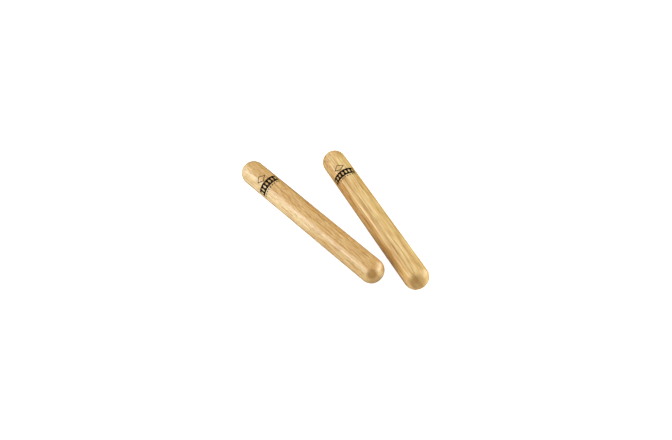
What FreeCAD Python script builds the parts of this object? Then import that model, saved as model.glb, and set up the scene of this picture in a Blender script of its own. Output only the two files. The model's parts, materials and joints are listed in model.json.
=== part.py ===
"""A pair of claves: two plain turned hardwood sticks, struck one against the other.

Both sticks are the same solid of revolution. A straight round barrel runs into a shoulder arc at each
end, and the shoulder runs into a flatter crown arc whose centre is on the stick's axis. Nothing is
bored, fitted or joined: the instrument is the two solid sticks.

The sticks lie side by side on a table, splayed so that they come together at their +X ends.
Row frame, in millimetres: +X along the sounding clave, +Z up, origin under the middle of the pair.
"""

import FreeCAD, Part

import math
import os

import Sketcher

PARTS_FOLDER = "parts"

# Driving dimensions: alias, value, what it is. Lengths are millimetres and angles are degrees.
DIMENSIONS = [
    ("clave_length", 200.0, "over both crowns"),
    ("barrel_diameter", 25.0, "of the straight barrel"),
    ("shoulder_radius", 11.5, "arc that leaves the barrel"),
    ("crown_radius", 14.0, "flatter arc over the very end"),
    ("splay_angle", 16.1, "between the two axes on the table"),
    ("striker_ahead", 36.1, "striking clave's middle, along +X from the sounding clave's"),
    ("striker_beside", 51.2, "striking clave's middle, along +Y from the sounding clave's"),
]


def make_sheet(doc):
    """The spreadsheet that drives every size, with one aliased cell for each dimension."""
    sheet = doc.addObject("Spreadsheet::Sheet", "sizes")
    for row, (alias, value, note) in enumerate(DIMENSIONS, start=1):
        sheet.set(f"A{row}", alias)
        sheet.set(f"B{row}", str(value))
        sheet.setAlias(f"B{row}", alias)
        sheet.set(f"C{row}", note)
    doc.recompute()
    return sheet


class Outline:
    """The stick's outline worked out from the sheet: where its arcs are centred and where they meet."""

    def __init__(self, sheet):
        self.half_length = sheet.clave_length / 2
        self.barrel_radius = sheet.barrel_diameter / 2
        self.shoulder = sheet.shoulder_radius
        self.crown = sheet.crown_radius
        self.crown_at = self.half_length - self.crown
        self.shoulder_out = self.barrel_radius - self.shoulder
        self.crown_angle = math.asin(self.shoulder_out / (self.crown - self.shoulder))
        self.shoulder_at = self.crown_at + (self.crown - self.shoulder) * math.cos(self.crown_angle)

    def reach(self, angle):
        """How far the surface reaches from the middle, in a direction at that angle to the axis."""
        if angle < self.crown_angle:
            return self.crown_at * math.cos(angle) + self.crown
        across = self.shoulder_out * math.sin(angle)
        return self.shoulder_at * math.cos(angle) + across + self.shoulder


def origin_plane(body, role):
    return next(f for f in body.Origin.OriginFeatures if f.Role == role)


def draw_half_section(sketch, outline):
    """Half of the stick's section: barrel, two shoulders, two crowns, closed along the axis."""
    centre_line = FreeCAD.Vector(0, 0, 1)
    quarter = math.pi / 2
    meet = outline.crown_angle

    def arc(x, y, radius, start, end):
        circle = Part.Circle(FreeCAD.Vector(x, y, 0), centre_line, radius)
        return sketch.addGeometry(Part.ArcOfCircle(circle, start, end))

    def line(x0, y0, x1, y1):
        ends = FreeCAD.Vector(x0, y0, 0), FreeCAD.Vector(x1, y1, 0)
        return sketch.addGeometry(Part.LineSegment(*ends))

    at, out, radius = outline.shoulder_at, outline.shoulder_out, outline.barrel_radius
    barrel = line(-at, radius, at, radius)
    near_shoulder = arc(at, out, outline.shoulder, meet, quarter)
    near_crown = arc(outline.crown_at, 0, outline.crown, 0, meet)
    axis = line(-outline.half_length, 0, outline.half_length, 0)
    far_crown = arc(-outline.crown_at, 0, outline.crown, math.pi - meet, math.pi)
    far_shoulder = arc(-at, out, outline.shoulder, quarter, math.pi - meet)

    start, end, middle, root, x_axis = 1, 2, 3, -1, -1
    constraint = Sketcher.Constraint
    sketch.addConstraint(
        [
            constraint("Horizontal", barrel),
            constraint("Tangent", barrel, end, near_shoulder, end),
            constraint("Tangent", near_shoulder, start, near_crown, end),
            constraint("Tangent", barrel, start, far_shoulder, start),
            constraint("Tangent", far_shoulder, end, far_crown, start),
            constraint("Coincident", near_crown, start, axis, end),
            constraint("Coincident", far_crown, end, axis, start),
            constraint("PointOnObject", near_crown, middle, x_axis),
            constraint("PointOnObject", far_crown, middle, x_axis),
            constraint("PointOnObject", axis, start, x_axis),
            constraint("Symmetric", axis, start, axis, end, root, start),
            constraint("Equal", near_shoulder, far_shoulder),
            constraint("Equal", near_crown, far_crown),
        ]
    )
    length = 2 * outline.half_length
    sizes = [
        ("length", constraint("DistanceX", axis, start, axis, end, length), "clave_length"),
        ("radius", constraint("DistanceY", root, start, barrel, start, radius), "barrel_diameter / 2"),
        ("shoulder", constraint("Radius", near_shoulder, outline.shoulder), "shoulder_radius"),
        ("crown", constraint("Radius", near_crown, outline.crown), "crown_radius"),
    ]
    for name, size, formula in sizes:
        sketch.renameConstraint(sketch.addConstraint(size), name)
        sketch.setExpression(f"Constraints.{name}", f"sizes.{formula}")


def make_clave(doc, outline, label, middle, turn):
    """One turned stick, its middle at that point and its axis turned from +X by that angle, in degrees."""
    body = doc.addObject("PartDesign::Body", label)
    body.Label = label
    sketch = body.newObject("Sketcher::SketchObject", f"{label}_half_section")
    sketch.AttachmentSupport = [(origin_plane(body, "XZ_Plane"), "")]
    sketch.MapMode = "FlatFace"
    draw_half_section(sketch, outline)
    doc.recompute()
    turned = body.newObject("PartDesign::Revolution", f"{label}_turned")
    turned.Profile = sketch
    turned.ReferenceAxis = (sketch, ["H_Axis"])
    turned.Angle = 360
    body.Placement = FreeCAD.Placement(middle, FreeCAD.Rotation(FreeCAD.Vector(0, 0, 1), turn))
    return body


def lay_out(sheet, outline):
    """The middles of the sounding and the striking clave, with the pair's box centred on the origin."""
    splay = math.radians(sheet.splay_angle)
    ahead, beside = sheet.striker_ahead, sheet.striker_beside
    along = [outline.reach(0), outline.reach(splay)]
    across = [outline.reach(math.pi / 2), outline.reach(math.pi / 2 - splay)]
    box_middle_x = (min(-along[0], ahead - along[1]) + max(along[0], ahead + along[1])) / 2
    box_middle_y = (min(-across[0], beside - across[1]) + max(across[0], beside + across[1])) / 2
    sounding = FreeCAD.Vector(-box_middle_x, -box_middle_y, outline.barrel_radius)
    return sounding, sounding + FreeCAD.Vector(ahead, beside, 0)


def check(doc, bodies):
    """Stops the build if an object failed, a sketch can still move or a stick isn't one valid solid."""
    failed = [o.Label for o in doc.Objects if {"Invalid", "Error"} & set(o.State)]
    if failed:
        raise RuntimeError(f"these objects failed: {failed}")
    loose = [o.Label for o in doc.findObjects("Sketcher::SketchObject") if not o.FullyConstrained]
    if loose:
        raise RuntimeError(f"these sketches aren't fully constrained: {loose}")
    for body in bodies:
        shape = body.Shape
        if shape.isNull() or not shape.isValid() or len(shape.Solids) != 1:
            raise RuntimeError(f"{body.Label} isn't one valid solid")


def main():
    doc = FreeCAD.newDocument("claves")
    sheet = make_sheet(doc)
    outline = Outline(sheet)
    sounding_middle, striking_middle = lay_out(sheet, outline)
    bodies = [
        make_clave(doc, outline, "sounding_clave", sounding_middle, 0),
        make_clave(doc, outline, "striking_clave", striking_middle, -sheet.splay_angle),
    ]
    doc.recompute()
    check(doc, bodies)
    os.makedirs(PARTS_FOLDER, exist_ok=True)
    for body in bodies:
        body.Shape.exportStep(os.path.join(PARTS_FOLDER, f"{body.Label}.step"))
        print(f"{body.Label}: {body.Shape.Volume:.0f} mm3, {body.Placement}")
    gap = bodies[0].Shape.distToShape(bodies[1].Shape)[0]
    print(f"gap between the sticks {gap:.2f} mm, barrel length {2 * outline.shoulder_at:.2f} mm")


main()
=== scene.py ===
"""The looks of a pair of claves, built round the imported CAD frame.

Each clave gets a fine turned surface in solid-textured wood under clear lacquer, with a printed band of
plain shapes near one end. Everything is in metres in the row frame: +X along the sounding clave, +Z up.
"""

import json
import math

import bmesh
import bpy
from mathutils import Matrix, Vector, noise


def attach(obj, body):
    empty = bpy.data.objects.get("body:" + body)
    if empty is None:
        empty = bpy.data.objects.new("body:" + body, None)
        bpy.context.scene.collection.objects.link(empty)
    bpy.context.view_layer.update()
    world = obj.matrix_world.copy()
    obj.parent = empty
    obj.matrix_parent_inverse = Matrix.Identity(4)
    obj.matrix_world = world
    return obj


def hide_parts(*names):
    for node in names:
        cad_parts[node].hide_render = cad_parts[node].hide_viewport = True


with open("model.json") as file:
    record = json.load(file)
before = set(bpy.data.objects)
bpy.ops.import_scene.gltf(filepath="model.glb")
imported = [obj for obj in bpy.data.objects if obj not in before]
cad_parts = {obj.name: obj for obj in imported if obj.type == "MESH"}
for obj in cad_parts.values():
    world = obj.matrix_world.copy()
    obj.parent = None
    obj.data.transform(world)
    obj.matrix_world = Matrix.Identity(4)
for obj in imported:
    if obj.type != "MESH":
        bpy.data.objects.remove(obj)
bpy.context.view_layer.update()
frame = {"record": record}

MM = 0.001

# The dome at each end of a stick, as the CAD outline has it.
SHOULDER_RADIUS = 11.5 * MM
CROWN_RADIUS = 14.0 * MM

# How finely a stick's surface is divided.
SEGMENTS_ROUND = 192
BARREL_STEP = 2.0 * MM
DOME_RINGS = 26

# Sanding leaves a stick very slightly out of round: how deep, long and wide the hollows are, and where
# their noise is read.
SANDING_DEPTH = 0.05 * MM
SANDING_LENGTH = 45.0 * MM
SANDING_WIDTH = 9.0 * MM
SANDING_START = Vector((0, 0, 80))

# The printed band: where it is along a stick, and how it is drawn on the round side. An opening's half share
# is the part of the space between two openings that it takes up to each side of its middle.
PRINT_MIDDLE = -58.5 * MM
PRINT_HALF_WRAP = 13.0 * MM
PRINT_HALF_WIDTH = 4.1 * MM
PRINT_REPEATS = 7
OPENING_HALF_LENGTH = 2.9 * MM
OPENING_HALF_SHARE = 0.29
LOZENGE_GAP = 5.0 * MM
LOZENGE_HALF_LENGTH = 4.2 * MM
LOZENGE_HALF_WIDTH = 5.8 * MM
LOZENGE_LINE = 0.95 * MM
DOT_COUNT = 9
DOT_RADIUS = 0.8 * MM
DOT_GAP = 1.7 * MM
PRINT_STEP = 0.25 * MM
INK_LIFT = 0.03 * MM
INK_SINK = 0.25 * MM

# The view: what the camera looks at, and from where. Angles are degrees.
LOOK_AT = Vector((0.2, -18.7, 12.8)) * MM
CAMERA_AZIMUTH = 45.65
CAMERA_ELEVATION = 44.17
CAMERA_DISTANCE = 1.0975
CAMERA_ROLL = 3.61
CAMERA_LENS = 59.9
CAMERA_SENSOR = 36.0

# The light, as brightness seen from the object, where a white surface at 1 is just white.
LEFT_BRIGHTNESS = 3.5
RIGHT_BRIGHTNESS = 6.6
CEILING_BRIGHTNESS = 0.70
BEHIND_BRIGHTNESS = 0.5
ROOM_BRIGHTNESS = 0.08
FLOOR_GLOW = 0.85
FLOOR_BOUNCE = 0.2
FLOOR_SHINE = 0.12

# Each soft light: name, azimuth, elevation, distance, width, height and brightness, in degrees and metres.
SOFTBOXES = (
    ("left_softbox", -30, 21, 1.6, 2.6, 0.72, LEFT_BRIGHTNESS),
    ("right_softbox", 148, 16, 1.8, 1.9, 0.95, RIGHT_BRIGHTNESS),
    ("behind_softbox", -98, 10, 2.2, 2.0, 0.74, BEHIND_BRIGHTNESS),
    ("ceiling_light", 0, 89.9, 2.5, 8.0, 8.0, CEILING_BRIGHTNESS),
)

# The share of the light that the floor sends back, how far it reaches from the origin, how far apart its
# sheets lie, and the surround's radius.
FLOOR_WHITE = 0.92
FLOOR_HALF = 6.0
FLOOR_SHEET_STEP = 0.1 * MM
BACKDROP_RADIUS = 5.5


def towards(azimuth, elevation):
    """The direction from the object to something at that azimuth, 0 being -Y and 90 +X, in degrees."""
    a, e = math.radians(azimuth), math.radians(elevation)
    return Vector((math.sin(a) * math.cos(e), -math.cos(a) * math.cos(e), math.sin(e)))


# ---------------------------------------------------------------- the sticks' shape


class Stick:
    """Where a clave lies, read from its barrel's mount, and how it has rolled on its round side.

    Its own frame has X along it, Z out of the side with the print, and the origin at its middle.
    """

    def __init__(self, name, roll):
        self.name = name
        self.body = f"{name}_clave"
        mount = next(m for m in frame["record"]["mounts"] if m["name"] == f"{name}_barrel")
        self.radius = mount["dims"]["r_mm"] * MM
        self.half_barrel = mount["dims"]["length_mm"] * MM / 2
        self.shoulder_out = self.radius - SHOULDER_RADIUS
        self.meet = math.asin(self.shoulder_out / (CROWN_RADIUS - SHOULDER_RADIUS))
        self.crown_at = self.half_barrel - (CROWN_RADIUS - SHOULDER_RADIUS) * math.cos(self.meet)
        along = -Vector(mount["axis"]).normalized()
        face = Matrix.Rotation(math.radians(roll), 3, along) @ Vector((0, 0, 1))
        turn = Matrix((along, face.cross(along), face)).transposed()
        self.place = Matrix.Translation(mount["pos_m"]) @ turn.to_4x4()

    def outline(self):
        """(distance along, radius) from the far crown to the near one, without the two middle points."""
        shoulder_rings = DOME_RINGS // 2
        crown_rings = DOME_RINGS - shoulder_rings
        dome = []
        for i in range(1, crown_rings):
            angle = self.meet * i / crown_rings
            dome.append((self.crown_at + CROWN_RADIUS * math.cos(angle), CROWN_RADIUS * math.sin(angle)))
        for i in range(shoulder_rings + 1):
            angle = self.meet + (math.pi / 2 - self.meet) * i / shoulder_rings
            x = self.half_barrel + SHOULDER_RADIUS * math.cos(angle)
            dome.append((x, self.shoulder_out + SHOULDER_RADIUS * math.sin(angle)))
        steps = round(2 * self.half_barrel / BARREL_STEP)
        barrel = [(self.half_barrel * (2 * i / steps - 1), self.radius) for i in range(1, steps)]
        return [(-x, r) for x, r in dome] + barrel + [(x, r) for x, r in reversed(dome)]

    def point(self, x, radius, angle):
        """A point of the sanded surface, angle being from the printed side towards the stick's own +Y."""
        y, z = radius * math.sin(angle), radius * math.cos(angle)
        at = Vector((x / SANDING_LENGTH, y / SANDING_WIDTH, z / SANDING_WIDTH)) + SANDING_START
        hollow = SANDING_DEPTH * noise.noise(at) * radius / self.radius
        scale = (radius + hollow) / radius
        return Vector((x, y * scale, z * scale))


def add_piece(name, points, faces, stick, material):
    """A mesh of points in a stick's own frame, put in the row frame to ride on that stick's body.

    It keeps the points' own places, in mm, as the attribute grain, so that the wood is cut from one board.
    """
    mesh = bpy.data.meshes.new(name)
    mesh.from_pydata([stick.place @ p for p in points], [], faces)
    mesh.polygons.foreach_set("use_smooth", [True] * len(mesh.polygons))
    grain = mesh.attributes.new("grain", "FLOAT_VECTOR", "POINT")
    grain.data.foreach_set("vector", [c / MM for p in points for c in p])
    mesh.materials.append(material)
    mesh.update()
    piece = bpy.data.objects.new(name, mesh)
    bpy.context.scene.collection.objects.link(piece)
    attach(piece, stick.body)
    return piece


def make_stick(stick, material):
    """The turned surface of one clave: rings of points along its outline, closed at each crown."""
    outline = stick.outline()
    n = SEGMENTS_ROUND
    angles = [2 * math.pi * k / n for k in range(n)]
    points = [stick.point(x, r, a) for x, r in outline for a in angles]
    faces = []
    for i in range(len(outline) - 1):
        for k in range(n):
            here, beside = i * n + k, i * n + (k + 1) % n
            faces.append((here, here + n, beside + n, beside))
    half_length = stick.crown_at + CROWN_RADIUS
    far, near = len(points), len(points) + 1
    points += [Vector((-half_length, 0, 0)), Vector((half_length, 0, 0))]
    last = (len(outline) - 1) * n
    for k in range(n):
        faces.append((far, k, (k + 1) % n))
        faces.append((near, last + (k + 1) % n, last + k))
    piece = add_piece(f"{stick.name}_stick", points, faces, stick, material)
    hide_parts(stick.body)


def ways_round(middle, half_wide):
    """Distances round the stick from the middle of the print, a PRINT_STEP or less apart."""
    steps = 2 * math.ceil(half_wide / PRINT_STEP)
    return [middle + half_wide * (2 * i / steps - 1) for i in range(steps + 1)]


def pierced_band():
    """The band's two halves, between its straight edges and a row of lozenge-shaped openings."""
    pitch = 2 * PRINT_HALF_WRAP / PRINT_REPEATS
    halves = ([], [])
    for way in ways_round(0.0, PRINT_HALF_WRAP):
        from_opening = abs((way / pitch + PRINT_REPEATS / 2) % 1 - 0.5)
        opening = OPENING_HALF_LENGTH * max(0.0, 1 - from_opening / OPENING_HALF_SHARE)
        halves[0].append((way, PRINT_MIDDLE - PRINT_HALF_WIDTH, PRINT_MIDDLE - opening))
        halves[1].append((way, PRINT_MIDDLE + opening, PRINT_MIDDLE + PRINT_HALF_WIDTH))
    return halves


def dots():
    """A row of dots beside the band's near edge."""
    pitch = 2 * PRINT_HALF_WRAP / DOT_COUNT
    middle = PRINT_MIDDLE + PRINT_HALF_WIDTH + DOT_GAP
    made = []
    for k in range(DOT_COUNT):
        centre = (k - (DOT_COUNT - 1) / 2) * pitch
        dot = []
        for way in ways_round(centre, DOT_RADIUS):
            reach = math.sqrt(max(DOT_RADIUS**2 - (way - centre) ** 2, 0.0))
            dot.append((way, middle - reach, middle + reach))
        made.append(dot)
    return made


def open_lozenge():
    """The outline of a lozenge beside the band's far edge, as the half at low x and the half at high x."""
    middle = PRINT_MIDDLE - PRINT_HALF_WIDTH - LOZENGE_GAP
    halves = ([], [])
    for way in ways_round(0.0, LOZENGE_HALF_WIDTH):
        out = LOZENGE_HALF_LENGTH * (1 - abs(way) / LOZENGE_HALF_WIDTH)
        inner = max(out - LOZENGE_LINE, 0.0)
        halves[0].append((way, middle - out, middle - inner))
        halves[1].append((way, middle + inner, middle + out))
    return halves


def make_print(stick, material):
    """The ink: a pierced band with a row of dots, and an open lozenge on the side of the far end.

    Each shape is a list of places round the stick, with its lowest and highest x at each one.
    """
    shapes = [*pierced_band(), *dots(), *open_lozenge()]
    points, faces = [], []
    for shape in shapes:
        start = len(points)
        for way, low, high in shape:
            angle = way / stick.radius
            for x, lift in ((low, INK_LIFT), (high, INK_LIFT), (high, -INK_SINK), (low, -INK_SINK)):
                points.append(stick.point(x, stick.radius + lift, angle))
        for i in range(len(shape) - 1):
            a = start + 4 * i
            for k in range(4):
                beside = (k + 1) % 4
                faces.append((a + k, a + beside, a + 4 + beside, a + 4 + k))
        end = start + 4 * (len(shape) - 1)
        faces.append((start + 3, start + 2, start + 1, start))
        faces.append((end, end + 1, end + 2, end + 3))
    add_piece(f"{stick.name}_print", points, faces, stick, material)


# ---------------------------------------------------------------- materials


class Graph:
    """A material's nodes, with one short method for each kind that the wood is made of."""

    def __init__(self, name):
        self.material = bpy.data.materials.new(name)
        self.material.use_nodes = True
        self.tree = self.material.node_tree
        self.shader = self.tree.nodes["Principled BSDF"]

    def node(self, kind, inputs, **settings):
        made = self.tree.nodes.new(kind)
        for setting, value in settings.items():
            setattr(made, setting, value)
        for socket, value in inputs.items():
            if isinstance(value, bpy.types.NodeSocket):
                self.tree.links.new(value, made.inputs[socket])
            else:
                made.inputs[socket].default_value = value
        return made

    def math(self, operation, a, b=0.0, c=0.0):
        return self.node("ShaderNodeMath", {0: a, 1: b, 2: c}, operation=operation).outputs[0]

    def stretch(self, vector, factors):
        made = self.node("ShaderNodeVectorMath", {0: vector, 1: factors}, operation="MULTIPLY")
        return made.outputs[0]

    def join(self, x, y, z):
        return self.node("ShaderNodeCombineXYZ", {0: x, 1: y, 2: z}).outputs[0]

    def split(self, vector):
        return self.node("ShaderNodeSeparateXYZ", {0: vector}).outputs

    def noise(self, vector, detail=2.0, roughness=0.5):
        inputs = {"Vector": vector, "Scale": 1.0, "Detail": detail, "Roughness": roughness}
        return self.node("ShaderNodeTexNoise", inputs).outputs[0]

    def spread(self, value, low, high, to_low=0.0, to_high=1.0):
        """value taken smoothly from low..high to to_low..to_high."""
        inputs = {0: value, 1: low, 2: high, 3: to_low, 4: to_high}
        return self.node("ShaderNodeMapRange", inputs, interpolation_type="SMOOTHSTEP").outputs[0]

    def ramp(self, value, stops):
        """Colours at places from 0 to 1."""
        made = self.node("ShaderNodeValToRGB", {0: value})
        elements = made.color_ramp.elements
        while len(elements) < len(stops):
            elements.new(1.0)
        for element, (place, colour) in zip(elements, stops):
            element.position = place
            element.color = (*colour, 1.0)
        return made.outputs[0]

    def mix(self, share, a, b, blend="MIX"):
        """Colour a with b mixed in by share. Each is a socket or a plain colour."""
        a, b = (c if isinstance(c, bpy.types.NodeSocket) else (*c, 1.0) for c in (a, b))
        made = self.node("ShaderNodeMix", {0: share, 6: a, 7: b}, data_type="RGBA", blend_type=blend)
        return made.outputs[2]

    def bump(self, height, depth):
        inputs = {"Height": height, "Distance": depth, "Strength": 1.0}
        return self.node("ShaderNodeBump", inputs).outputs[0]

    def paint(self, **values):
        """Sets or links the shader's sockets, named with _ for a space."""
        for name, value in values.items():
            socket = self.shader.inputs[name.replace("_", " ")]
            if isinstance(value, bpy.types.NodeSocket):
                self.tree.links.new(value, socket)
            else:
                socket.default_value = value


# Wood colours, as the share of each part of the light that they send back.
PALE = (0.81, 0.60, 0.275)
PALEST = (0.87, 0.67, 0.32)
TAN = (0.70, 0.445, 0.16)
HONEY = (0.62, 0.39, 0.12)
BROWN = (0.53, 0.29, 0.088)
LIGHT_BROWN = (0.64, 0.40, 0.14)
SOFT_TAN = (0.67, 0.465, 0.205)
LIGHT_TAN = (0.73, 0.52, 0.24)
LIGHT_HONEY = (0.66, 0.445, 0.155)
OLIVE_HONEY = (0.62, 0.445, 0.16)
DARK_GRAIN = (0.76, 0.60, 0.42)
PORE = (0.60, 0.44, 0.28)
END_GRAIN = (0.92, 0.86, 0.76)
INK = (0.008, 0.004, 0.001)
WORN_INK = (0.08, 0.05, 0.02)
LACQUER_IOR = 1.52

# The board: half the width its stripes span, and how its growth rings bow and repeat, all in mm.
BOARD_HALF_WIDTH = 14.0
RING_BOW = 180.0
RINGS_PER_MM = 0.42

# What is left of the fine grain, and how far the stripes blur, where the surface is all end grain.
END_BLUR = 0.85
END_STRIPE_BLUR = 0.6

# The share of a patch's radius that has its full tint, and how far the open grain sinks.
PATCH_CORE = 0.45
GRAIN_RELIEF = 0.03 * MM


def make_wood(
    stick, stripes, streaks, dome_shade, lean, wobble, slant, reach, strength, offset, figure, lacquer, dulling
):
    """Lacquered hardwood, textured in the solid, with its fine grain fading to end grain on the domes.

    stripes are the board's colours at places across it, in mm from the stick's middle along its own Y.
    streaks are its darker and paler figures, with painted highlight and painted shade among them: (x, y,
    half length, half width, slope, tint), in mm.
    The round spots on the domes are painted shade over their darker end grain: (x, y, z, radius, tint), in
    mm.
    lean is how far the grain drifts across for each mm along, and wobble how far it wanders, in mm.
    slant is how far the flecks, the pores and the lacquer's waves shift across for each mm along.
    reach is how fast the fine grain changes along the stick, so a small reach gives long fibres.
    strength is how clearly the rings, fibres and flecks show. offset picks the place in the noise, in mm.
    figure is the depth of the lacquer's waves in mm, lacquer its weight, and dulling its roughness.
    """
    g = Graph(f"{stick.name}_wood")
    place = g.node("ShaderNodeAttribute", {}, attribute_name="grain").outputs["Vector"]
    seeded = g.node("ShaderNodeVectorMath", {0: place, 1: offset}, operation="ADD").outputs[0]
    x, y, z = g.split(place)
    shift = g.join(0.0, g.math("MULTIPLY", x, slant), 0.0)
    slanted = g.node("ShaderNodeVectorMath", {0: seeded, 1: shift}, operation="ADD").outputs[0]

    # Distance across the growth rings, which are nearly flat across so thin a stick.
    drift = g.math("MULTIPLY", x, lean)
    wander = g.math("SUBTRACT", g.noise(g.stretch(seeded, (0.014, 0.05, 0.05)), 2.0), 0.5)
    ripple = g.math("SUBTRACT", g.noise(g.stretch(seeded, (0.06, 0.25, 0.25)), 2.0), 0.5)
    bow = g.math("MULTIPLY", g.math("MULTIPLY", z, z), 1 / RING_BOW)
    across = g.math("ADD", g.math("ADD", y, drift), bow)
    across = g.math("MULTIPLY_ADD", wander, 4 * wobble, across)
    across = g.math("MULTIPLY_ADD", ripple, 0.8 * wobble, across)

    # How far the surface has turned to end grain, where the stripes and the fine grain blur.
    past_barrel = g.math("SUBTRACT", g.math("ABSOLUTE", x), stick.half_barrel / MM)
    end = g.spread(past_barrel, 0.1 * SHOULDER_RADIUS / MM, 0.6 * SHOULDER_RADIUS / MM)
    side_on = g.math("MULTIPLY_ADD", end, -END_BLUR, 1.0)

    stops = [((at + BOARD_HALF_WIDTH) / (2 * BOARD_HALF_WIDTH), tint) for at, tint in stripes]
    colour = g.ramp(g.math("MULTIPLY_ADD", across, 1 / (2 * BOARD_HALF_WIDTH), 0.5), stops)
    colour = g.mix(g.math("MULTIPLY", end, END_STRIPE_BLUR), colour, LIGHT_TAN)

    # The board's own figures, with painted highlight and painted shade among them, frayed along the grain.
    fray = g.math("MULTIPLY_ADD", g.noise(g.stretch(seeded, (0.07, 0.9, 0.9)), 4.0, 0.6), 1.6, -0.8)
    for at_x, at_y, half_length, half_width, slope, tint in streaks:
        along = g.math("MULTIPLY_ADD", x, 1 / half_length, -at_x / half_length)
        side = g.math("MULTIPLY_ADD", along, -slope * half_length / half_width, -at_y / half_width)
        side = g.math("MULTIPLY_ADD", across, 1 / half_width, side)
        far_out = g.math("ADD", g.math("MULTIPLY", along, along), g.math("MULTIPLY", side, side))
        inside = g.spread(g.math("ADD", far_out, fray), 0.1, 1.3, 1.0, 0.0)
        colour = g.mix(inside, colour, tint, "MULTIPLY")
    # Round spots of painted shade on the domes, over their darker end grain.
    for at_x, at_y, at_z, radius, tint in dome_shade:
        inputs = {0: place, 1: (at_x, at_y, at_z)}
        apart = g.node("ShaderNodeVectorMath", inputs, operation="DISTANCE").outputs["Value"]
        inside = g.spread(apart, PATCH_CORE * radius, radius, 1.0, 0.0)
        colour = g.mix(inside, colour, tint, "MULTIPLY")

    # Growth rings: pale early wood that darkens to a thin late-wood line, at uneven spacing.
    uneven = g.noise(g.join(0.0, g.math("MULTIPLY", across, 0.23), 7.0), 1.0)
    even = g.math("MULTIPLY", across, RINGS_PER_MM)
    ring = g.math("FRACT", g.math("MULTIPLY_ADD", uneven, 2.2, even))
    late = g.math("MULTIPLY", g.spread(ring, 0.35, 0.93), g.spread(ring, 0.93, 1.0, 1.0, 0.0))
    ring_break = g.noise(g.stretch(seeded, (0.03, 0.4, 0.4)), 3.0)
    late = g.math("MULTIPLY", late, g.spread(ring_break, 0.3, 0.65))
    late = g.math("MULTIPLY", late, side_on)
    colour = g.mix(g.math("MULTIPLY", late, 0.45 * strength), colour, DARK_GRAIN, "MULTIPLY")

    # Long fibres, and the shorter flecks between them.
    cells_along = g.math("MULTIPLY", x, 0.3 * reach)
    cells_across = g.math("MULTIPLY", across, 1.2)
    cells_deep = g.math("MULTIPLY", z, 0.5)
    fibres = g.noise(g.join(cells_along, cells_across, cells_deep), 5.0, 0.65)
    fibre = g.math("MULTIPLY", g.spread(fibres, 0.50, 0.63, 0.0, 0.8 * strength), side_on)
    colour = g.mix(fibre, colour, DARK_GRAIN, "MULTIPLY")
    flecks = g.noise(g.stretch(slanted, (0.9 * reach, 1.2, 1.2)), 3.0, 0.65)
    fleck = g.math("MULTIPLY", g.spread(flecks, 0.50, 0.60, 0.0, 0.55 * strength), side_on)
    colour = g.mix(fleck, colour, DARK_GRAIN, "MULTIPLY")
    pale_flecks = g.noise(g.stretch(slanted, (0.8 * reach, 0.9, 0.9)), 3.0, 0.6)
    pale_fleck = g.math("MULTIPLY", g.spread(pale_flecks, 0.50, 0.60, 0.0, 0.4 * strength), side_on)
    colour = g.mix(pale_fleck, colour, PALE)

    # Open pores: short dark dashes along the stick, much fainter on the domes.
    pores = g.node(
        "ShaderNodeTexVoronoi",
        {"Vector": g.stretch(slanted, (1.1 * reach, 1.1, 1.1)), "Scale": 1.0, "Randomness": 1.0},
    )
    pore = g.spread(pores.outputs["Distance"], 0.16, 0.34, 1.0, 0.0)
    pore = g.math("MULTIPLY", pore, g.spread(ring_break, 0.35, 0.6, 0.25, 1.0))
    pore = g.math("MULTIPLY", pore, side_on)
    colour = g.mix(pore, colour, PORE, "MULTIPLY")

    # End grain drinks the lacquer and looks darker and greyer.
    colour = g.mix(end, colour, END_GRAIN, "MULTIPLY")

    height = g.math("SUBTRACT", g.math("MULTIPLY", fibres, 0.8), pore)
    gloss = g.math("MULTIPLY_ADD", pore, 0.2, g.spread(fibres, 0.3, 0.7, 0.42, 0.5))
    g.paint(Base_Color=colour, Roughness=gloss, Specular_IOR_Level=0.1)
    g.paint(Normal=g.bump(height, GRAIN_RELIEF))

    # The lacquer follows the grain only loosely.
    skin = g.noise(g.stretch(slanted, (0.10, 0.36, 0.36)), 5.0, 0.68)
    g.paint(Coat_Weight=lacquer, Coat_Roughness=dulling, Coat_IOR=LACQUER_IOR)
    g.paint(Coat_Normal=g.bump(skin, figure * MM))
    return g.material


def make_ink():
    """Black ink under the lacquer, thinner where it lies over the open grain."""
    g = Graph("printed_ink")
    place = g.node("ShaderNodeAttribute", {}, attribute_name="grain").outputs["Vector"]
    worn = g.noise(g.stretch(place, (0.5, 3.0, 3.0)), 3.0, 0.6)
    colour = g.mix(g.spread(worn, 0.55, 0.75, 0.0, 0.7), INK, WORN_INK)
    g.paint(Base_Color=colour, Roughness=g.spread(worn, 0.3, 0.7, 0.35, 0.5), Specular_IOR_Level=0.0)
    g.paint(Coat_Weight=0.2, Coat_Roughness=0.08, Coat_IOR=LACQUER_IOR)
    return g.material


# ---------------------------------------------------------------- surroundings


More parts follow.
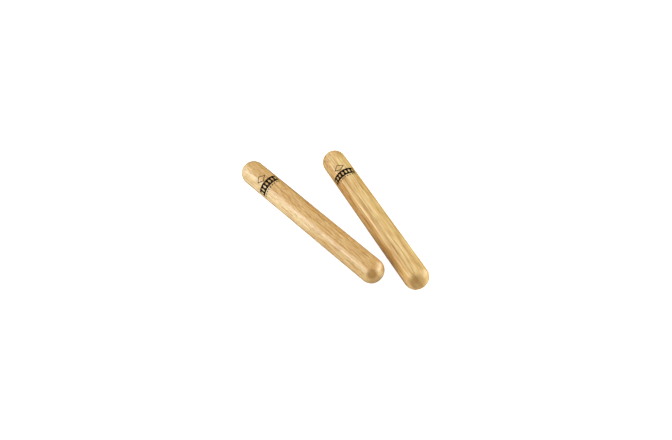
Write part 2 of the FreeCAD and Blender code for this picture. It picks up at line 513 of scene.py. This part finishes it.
def make_floor():
    """A plain white table top, far wider than any view of the sticks, as three sheets.

    The camera sees one, which glows enough to hide shadows. The sticks are lit by the second, and the third,
    much darker, is what shows in their lacquer, so that their edges stay clear of the white.
    """
    half = FLOOR_HALF
    corners = [(-half, -half, 0), (half, -half, 0), (half, half, 0), (-half, half, 0)]
    sheets = (
        ("floor", FLOOR_GLOW, FLOOR_WHITE, ("camera",)),
        ("floor_lit", FLOOR_BOUNCE, FLOOR_WHITE, ("diffuse", "shadow")),
        ("floor_shine", FLOOR_SHINE, 0.0, ("glossy",)),
    )
    for k, (name, glow, white, seen_by) in enumerate(sheets):
        mesh = bpy.data.meshes.new(name)
        mesh.from_pydata(corners, [], [(0, 1, 2, 3)])
        g = Graph(f"{name}_white")
        g.paint(Base_Color=(white, white, white, 1.0), Roughness=0.9, Specular_IOR_Level=0.0)
        g.paint(Emission_Color=(1.0, 1.0, 1.0, 1.0), Emission_Strength=glow)
        mesh.materials.append(g.material)
        floor = bpy.data.objects.new(name, mesh)
        bpy.context.scene.collection.objects.link(floor)
        floor.location.z = -(k + 1) * FLOOR_SHEET_STEP
        for ray in ("camera", "diffuse", "glossy", "shadow"):
            setattr(floor, f"visible_{ray}", ray in seen_by)


def make_backdrop():
    """A plain white surround that only the camera sees, so the view past the floor's edge is plain too."""
    mesh = bpy.data.meshes.new("backdrop")
    made = bmesh.new()
    bmesh.ops.create_icosphere(made, subdivisions=4, radius=BACKDROP_RADIUS)
    made.to_mesh(mesh)
    made.free()
    g = Graph("backdrop_white")
    g.paint(Base_Color=(0.0, 0.0, 0.0, 1.0), Roughness=1.0, Specular_IOR_Level=0.0)
    g.paint(Emission_Color=(1.0, 1.0, 1.0, 1.0), Emission_Strength=1.0)
    mesh.materials.append(g.material)
    backdrop = bpy.data.objects.new("backdrop", mesh)
    bpy.context.scene.collection.objects.link(backdrop)
    for kind in ("diffuse", "glossy", "shadow", "transmission", "volume_scatter"):
        setattr(backdrop, f"visible_{kind}", False)


def make_softbox(name, azimuth, elevation, distance, width, height, radiance):
    """A rectangular soft light that faces the object. radiance is how bright its face looks."""
    light = bpy.data.lights.new(name, "AREA")
    light.shape = "RECTANGLE"
    light.size, light.size_y = width, height
    light.energy = radiance * math.pi * width * height
    box = bpy.data.objects.new(name, light)
    bpy.context.scene.collection.objects.link(box)
    away = towards(azimuth, elevation)
    box.location = LOOK_AT + away * distance
    box.rotation_mode = "QUATERNION"
    box.rotation_quaternion = (-away).to_track_quat("-Z", "Y")
    box.visible_camera = False


def make_camera():
    data = bpy.data.cameras.new("camera")
    data.lens = CAMERA_LENS
    data.sensor_width = CAMERA_SENSOR
    camera = bpy.data.objects.new("camera", data)
    bpy.context.scene.collection.objects.link(camera)
    away = towards(CAMERA_AZIMUTH, CAMERA_ELEVATION)
    camera.location = LOOK_AT + away * CAMERA_DISTANCE
    level = (-away).to_track_quat("-Z", "Y").to_matrix()
    roll = Matrix.Rotation(math.radians(CAMERA_ROLL), 3, "Z")
    camera.rotation_euler = (level @ roll).to_euler()
    bpy.context.scene.camera = camera


def make_world():
    """The dim room round the lights."""
    world = bpy.data.worlds.new("studio")
    world.use_nodes = True
    background = world.node_tree.nodes["Background"]
    background.inputs[0].default_value = (1.0, 1.0, 1.0, 1.0)
    background.inputs[1].default_value = ROOM_BRIGHTNESS
    bpy.context.scene.world = world


# ---------------------------------------------------------------- the object


# Each board's colours across it, from the stick's own -Y side to its +Y side.
SOUNDING_STRIPES = [
    (-14, LIGHT_TAN),
    (-9, LIGHT_TAN),
    (-5, SOFT_TAN),
    (-2.5, SOFT_TAN),
    (0, TAN),
    (6, TAN),
    (10, HONEY),
    (11.3, HONEY),
    (12.4, BROWN),
]
STRIKING_STRIPES = [
    (-12.4, BROWN),
    (-11.5, LIGHT_BROWN),
    (-10.0, LIGHT_TAN),
    (-8.6, LIGHT_BROWN),
    (-7.2, BROWN),
    (-5.8, HONEY),
    (-4.6, PALE),
    (-3.4, PALEST),
    (-2.3, LIGHT_HONEY),
    (-1.2, LIGHT_HONEY),
    (-0.1, BROWN),
    (1.1, PALEST),
    (6.9, PALEST),
    (8.2, OLIVE_HONEY),
    (11.2, OLIVE_HONEY),
    (12.4, HONEY),
]

# How a streak shifts the colour under it.
MUCH_DARKER = (0.62, 0.45, 0.28)
DARKER = (0.80, 0.65, 0.46)
A_LITTLE_DARKER = (0.90, 0.80, 0.66)
# Tints of the painted shade on the domes, over their darker end grain.
END_SHADE = (0.66, 0.56, 0.44)
SOFT_END_SHADE = (0.74, 0.69, 0.62)
FAINT_END_SHADE = (0.88, 0.83, 0.78)
A_LITTLE_PALER = (1.06, 1.10, 1.22)
PALER = (1.24, 1.40, 1.80)

# Each board's figures, with painted highlight and painted shade among them: (x, y, half length, half width,
# slope, tint).
SOUNDING_STREAKS = [
    # Partly paler wood and partly a painted highlight: the broad pale zone on the lower side, here and at
    # the far end.
    (-25, -7.0, 60, 6.0, 0.05, PALER),
    (-88, -4.5, 22, 4.0, 0.0, PALER),
    (-10, 10.6, 16, 0.9, -0.02, DARKER),
    (-38, 10.9, 22, 0.7, 0.0, A_LITTLE_DARKER),
    (45, 9.4, 48, 0.8, 0.0, DARKER),
    (-32, 3.2, 26, 0.45, -0.065, DARKER),
    (-74, 5.0, 24, 0.45, -0.03, DARKER),
    (-78, 2.4, 20, 0.4, -0.03, A_LITTLE_DARKER),
    (66, -1.5, 36, 6.0, 0.0, A_LITTLE_PALER),
    (70, -9.8, 36, 3.6, 0.0, A_LITTLE_PALER),
    (74, 11.0, 34, 3.2, 0.0, A_LITTLE_PALER),
    # Painted shade that dims the start of the highlight here.
    (-30, -1.6, 24, 0.9, 0.0, A_LITTLE_DARKER),
    (10, 9.3, 24, 1.0, 0.0, A_LITTLE_DARKER),
    (-66, 12.3, 56, 1.3, 0.0, DARKER),
    (-80, -12.1, 26, 0.9, 0.0, PALER),
    (-95, -9.5, 9, 2.5, 0.0, PALER),
    (-90, 0.6, 9, 1.6, 0.0, PALER),
    (-76, -1.8, 9, 1.0, 0.0, A_LITTLE_DARKER),
    (-60, 5.0, 28, 0.9, 0.0, A_LITTLE_DARKER),
    (101, 5.0, 8.0, 3.2, 0.0, PALER),
    (-70, 5.5, 22, 0.4, -0.03, A_LITTLE_DARKER),
    (20, 4.2, 34, 0.5, -0.03, A_LITTLE_DARKER),
    (55, 1.8, 30, 0.4, -0.02, A_LITTLE_DARKER),
    (45, -7.6, 34, 0.8, -0.03, A_LITTLE_DARKER),
    (62, -9.8, 26, 0.6, 0.0, A_LITTLE_DARKER),
]
STRIKING_STREAKS = [
    (-24, -7.2, 11, 0.9, 0.0, DARKER),
    (10, -7.3, 13, 0.9, 0.0, DARKER),
    (52, -7.2, 10, 0.8, 0.0, A_LITTLE_DARKER),
    (75, -8.2, 14, 0.9, 0.0, DARKER),
    (-36, 7.9, 14, 0.5, 0.0, DARKER),
    (5, 7.8, 8, 0.4, 0.0, DARKER),
    (66, 7.7, 28, 0.8, 0.0, DARKER),
    (45, 1.9, 44, 1.0, 0.0, A_LITTLE_PALER),
    (70, 10.5, 34, 2.6, 0.0, A_LITTLE_PALER),
    (-38, 9.8, 32, 2.0, 0.0, A_LITTLE_DARKER),
    (94, -9.5, 6, 2.5, 0.0, A_LITTLE_PALER),
    (20, -1.0, 70, 0.5, 0.0, A_LITTLE_DARKER),
    (40, 3.0, 40, 0.35, 0.0, A_LITTLE_DARKER),
    # Partly brown wood and partly painted shade: the edge towards the near end, where it faces the sounding
    # clave.
    (60, -12.2, 50, 1.8, 0.0, DARKER),
    (64, -12.4, 40, 1.1, 0.0, DARKER),
    # Painted shade that dims the highlight towards the near end.
    (68, -3.2, 30, 1.3, 0.0, DARKER),
    (10, -3.5, 26, 1.2, 0.0, PALER),
    (-62, 2.0, 28, 1.1, -0.045, DARKER),
    (-80, -1.0, 22, 1.7, 0.0, PALER),
    (-62, -6.7, 28, 1.5, 0.0, PALER),
    (-82, 0.1, 18, 0.9, 0.0, PALER),
    (-92, 7.5, 12, 5.0, 0.0, A_LITTLE_DARKER),
    (-88, -3.8, 9, 1.5, 0.0, DARKER),
    (10, -5.2, 34, 1.0, 0.0, DARKER),
    (10, 6.6, 30, 1.0, 0.0, A_LITTLE_DARKER),
    (66, 6.4, 32, 1.6, 0.0, A_LITTLE_PALER),
    (-91, -3.6, 1.8, 0.9, 0.0, MUCH_DARKER),
    (-88, -7.0, 2.0, 1.0, 0.0, MUCH_DARKER),
    (-84, -4.8, 1.8, 0.9, 0.0, MUCH_DARKER),
    (-81, -8.4, 2.2, 0.9, 0.0, MUCH_DARKER),
    (-77, -6.2, 2.0, 0.8, 0.0, MUCH_DARKER),
    (-82, -2.0, 2.0, 0.8, 0.0, DARKER),
]

# Round spots of painted shade on the near domes, over their darker end grain: (x, y, z, radius, tint), in
# mm.
SOUNDING_DOME_SHADE = [
    (93.4, 3.0, 11.0, 4.6, A_LITTLE_DARKER),
    (96.2, -2.4, 9.2, 6.8, END_SHADE),
    (97.6, -6.8, 1.5, 6.0, FAINT_END_SHADE),
]
STRIKING_DOME_SHADE = [
    (96.4, -3.0, 9.0, 6.0, FAINT_END_SHADE),
    (98.0, -1.5, 5.0, 10.5, SOFT_END_SHADE),
]

sounding = Stick("sounding", roll=34.8)
striking = Stick("striking", roll=28.1)


def main():
    make_camera()
    make_world()
    make_floor()
    make_backdrop()
    for softbox in SOFTBOXES:
        make_softbox(*softbox)
    wood = make_wood(
        sounding,
        SOUNDING_STRIPES,
        SOUNDING_STREAKS,
        SOUNDING_DOME_SHADE,
        lean=0.012,
        wobble=0.7,
        slant=0.08,
        reach=0.11,
        strength=1.25,
        offset=(0.0, 0.0, 0.0),
        figure=0.30,
        lacquer=1.0,
        dulling=0.06,
    )
    make_stick(sounding, wood)
    wood = make_wood(
        striking,
        STRIKING_STRIPES,
        STRIKING_STREAKS,
        STRIKING_DOME_SHADE,
        lean=0.0,
        wobble=0.2,
        slant=0.0,
        reach=0.045,
        strength=1.5,
        offset=(400.0, 60.0, 30.0),
        figure=0.05,
        lacquer=0.42,
        dulling=0.2,
    )
    make_stick(striking, wood)
    ink = make_ink()
    make_print(sounding, ink)
    make_print(striking, ink)
    bpy.context.scene.view_settings.view_transform = "Standard"


main()
